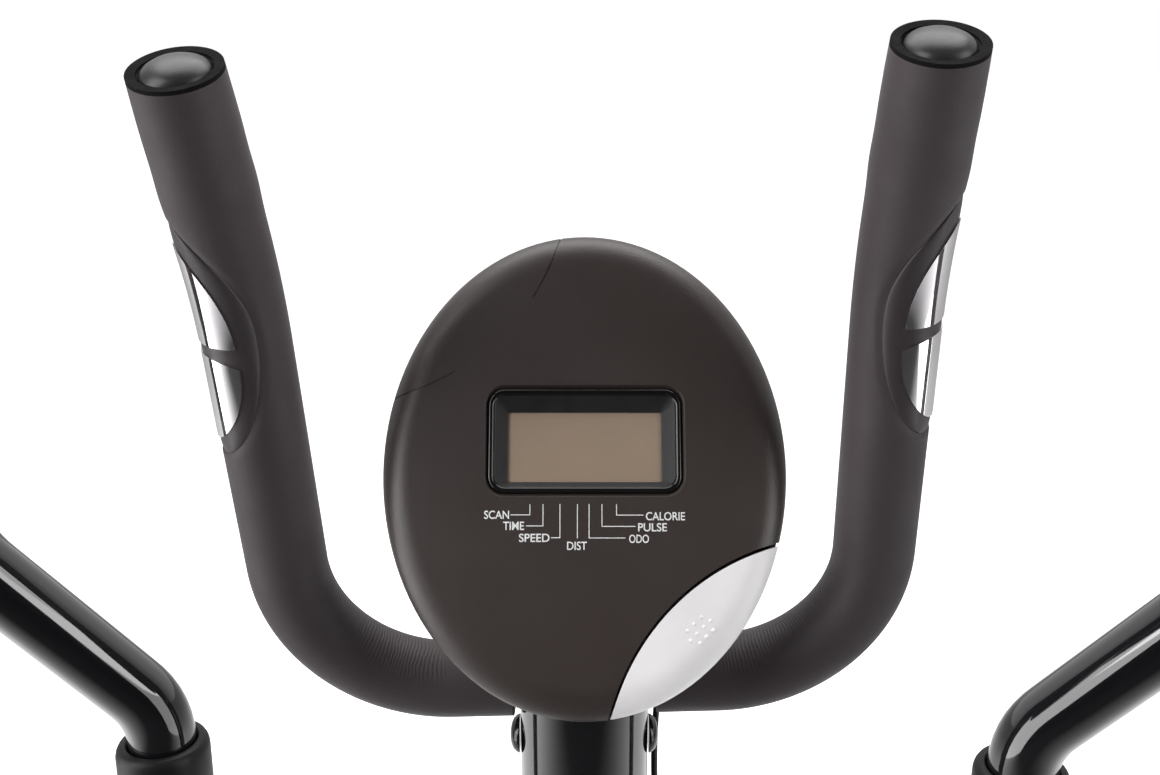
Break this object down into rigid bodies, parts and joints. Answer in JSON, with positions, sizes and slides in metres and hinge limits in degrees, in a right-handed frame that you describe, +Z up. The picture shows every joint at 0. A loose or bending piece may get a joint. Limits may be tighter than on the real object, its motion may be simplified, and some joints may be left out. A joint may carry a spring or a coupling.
{
  "type": "elliptical trainer",
  "caption": "Dual-action elliptical trainer with oval tilted console, foam-covered U handlebar with pulse sensors, swing handles, pedal arms, crank drive and flywheel under a two-part casing",
  "frame": {"origin": "centre of the footprint, on the floor the machine stands on", "axes": "+X to the user's right, +Y the way the user faces, towards the front stabilizer, +Z up"},
  "size_m": [0.5928, 1.12, 1.5363],
  "materials": {
    "black_gloss_paint": "gloss",
    "black_matte_plastic": "satin",
    "charcoal_plastic": "satin",
    "gloss_black_plastic": "gloss",
    "pearl_plastic": "satin",
    "display_glass": "satin",
    "board_green": "satin",
    "foam_rubber": "matte",
    "black_rubber": "matte",
    "sensor_chrome": "polished",
    "plain_steel": "satin",
    "grey_iron": "matte"
  },
  "bodies": {
    "base": {"keel_frame": "black_gloss_paint", "front_stabilizer": "black_gloss_paint", "rear_stabilizer": "black_gloss_paint", "front_cap_left": "black_matte_plastic", "rear_cap_left": "black_matte_plastic", "front_cap_right": "black_matte_plastic", "rear_cap_right": "black_matte_plastic", "post": "black_gloss_paint", "top_bolt": "gloss_black_plastic", "handlebar_tube": "black_gloss_paint", "grip_foam_left": "foam_rubber", "grip_plug_left": "gloss_black_plastic", "pulse_housing_left": "black_matte_plastic", "contact_plate_lower_left": "sensor_chrome", "contact_plate_upper_left": "sensor_chrome", "grip_foam_right": "foam_rubber", "grip_plug_right": "gloss_black_plastic", "pulse_housing_right": "black_matte_plastic", "contact_plate_lower_right": "sensor_chrome", "contact_plate_upper_right": "sensor_chrome", "console_front": "charcoal_plastic", "console_back": "charcoal_plastic", "display_window": "gloss_black_plastic", "lcd_panel": "display_glass", "circuit_board": "board_green", "battery_door": "charcoal_plastic", "console_bracket": "black_gloss_paint", "sensor_cable": "black_rubber", "cable_grommet": "black_rubber", "drive_belt": "black_rubber", "flywheel_axle": "plain_steel", "drive_cover_left": "black_matte_plastic", "drive_cover_right": "black_matte_plastic", "pivot_axle": "plain_steel", "pivot_cap_left": "black_matte_plastic", "pivot_cap_right": "black_matte_plastic"},
    "swing_left": {"swing_arm_left": "black_gloss_paint", "handle_tube_left": "black_gloss_paint", "handle_foam_left": "foam_rubber", "handle_collar_left": "black_matte_plastic"},
    "swing_right": {"swing_arm_right": "black_gloss_paint", "handle_tube_right": "black_gloss_paint", "handle_foam_right": "foam_rubber", "handle_collar_right": "black_matte_plastic"},
    "pedal_left": {"pedal_arm_left": "black_gloss_paint", "footplate_left": "black_matte_plastic"},
    "pedal_right": {"pedal_arm_right": "black_gloss_paint", "footplate_right": "black_matte_plastic"},
    "crank": {"crank_axle": "plain_steel", "drive_pulley": "black_matte_plastic", "crank_arm_left": "black_gloss_paint", "crank_arm_right": "black_gloss_paint"},
    "flywheel_rotor": {"flywheel": "grey_iron", "flywheel_pulley": "plain_steel"},
    "idler": {"idler_pulley": "black_matte_plastic"},
    "magnet_shoe": {"magnet_bracket": "grey_iron"},
    "knob": {"tension_knob": "black_matte_plastic"},
    "button": {"mode_button": "pearl_plastic"},
    "wheel_left": {"transport_wheel_left": "black_rubber"},
    "wheel_right": {"transport_wheel_right": "black_rubber"}
  },
  "joints": [
    {"name": "crank_spin", "type": "hinge", "parent": "base", "child": "crank", "pos_m": [0, -0.33, 0.275], "axis": [1, 0, 0], "continuous": true},
    {"name": "flywheel_spin", "type": "hinge", "parent": "base", "child": "flywheel_rotor", "pos_m": [0, -0.095, 0.235], "axis": [1, 0, 0], "continuous": true},
    {"name": "idler_spin", "type": "hinge", "parent": "base", "child": "idler", "pos_m": [0.046, -0.195, 0.14856], "axis": [1, 0, 0], "continuous": true},
    {"name": "swing_left", "type": "hinge", "parent": "base", "child": "swing_left", "pos_m": [-0.205, 0.365, 0.62], "axis": [1, 0, 0], "range_deg": [-15, 18]},
    {"name": "swing_right", "type": "hinge", "parent": "base", "child": "swing_right", "pos_m": [0.205, 0.365, 0.62], "axis": [1, 0, 0], "range_deg": [-18, 15]},
    {"name": "pedal_left_pivot", "type": "hinge", "parent": "swing_left", "child": "pedal_left", "pos_m": [-0.165, 0.35477, 0.22013], "axis": [1, 0, 0], "range_deg": [-18, 15]},
    {"name": "pedal_right_pivot", "type": "hinge", "parent": "swing_right", "child": "pedal_right", "pos_m": [0.165, 0.37452, 0.22011], "axis": [1, 0, 0], "range_deg": [-15, 18]},
    {"name": "tension_turn", "type": "hinge", "parent": "base", "child": "knob", "pos_m": [0, 0.33385, 0.82], "axis": [0, 1, 0], "range_deg": [0, 300]},
    {"name": "magnet_tilt", "type": "hinge", "parent": "base", "child": "magnet_shoe", "pos_m": [0, -0.00372, 0.12622], "axis": [-1, 0, 0], "range_deg": [0, 5.25]},
    {"name": "mode_press", "type": "slide", "parent": "base", "child": "button", "axis": [0, 0.8988, -0.4384], "range_m": [0, 0.0012], "stiffness_N_per_m": 600, "springref_m": -0.001},
    {"name": "wheel_left_spin", "type": "hinge", "parent": "base", "child": "wheel_left", "pos_m": [-0.249, 0.536, 0.033], "axis": [1, 0, 0], "continuous": true},
    {"name": "wheel_right_spin", "type": "hinge", "parent": "base", "child": "wheel_right", "pos_m": [0.249, 0.536, 0.033], "axis": [1, 0, 0], "continuous": true}
  ],
  "couplings": [
    {"joint": "flywheel_spin", "follows": "crank_spin", "ratio": 7.4},
    {"joint": "idler_spin", "follows": "crank_spin", "ratio": -8.7059},
    {"joint": "swing_right", "follows": "swing_left", "ratio": -1},
    {"joint": "pedal_left_pivot", "follows": "swing_left", "ratio": -1},
    {"joint": "pedal_right_pivot", "follows": "swing_left", "ratio": 1},
    {"joint": "magnet_tilt", "follows": "tension_turn", "ratio": 0.0175}
  ]
}
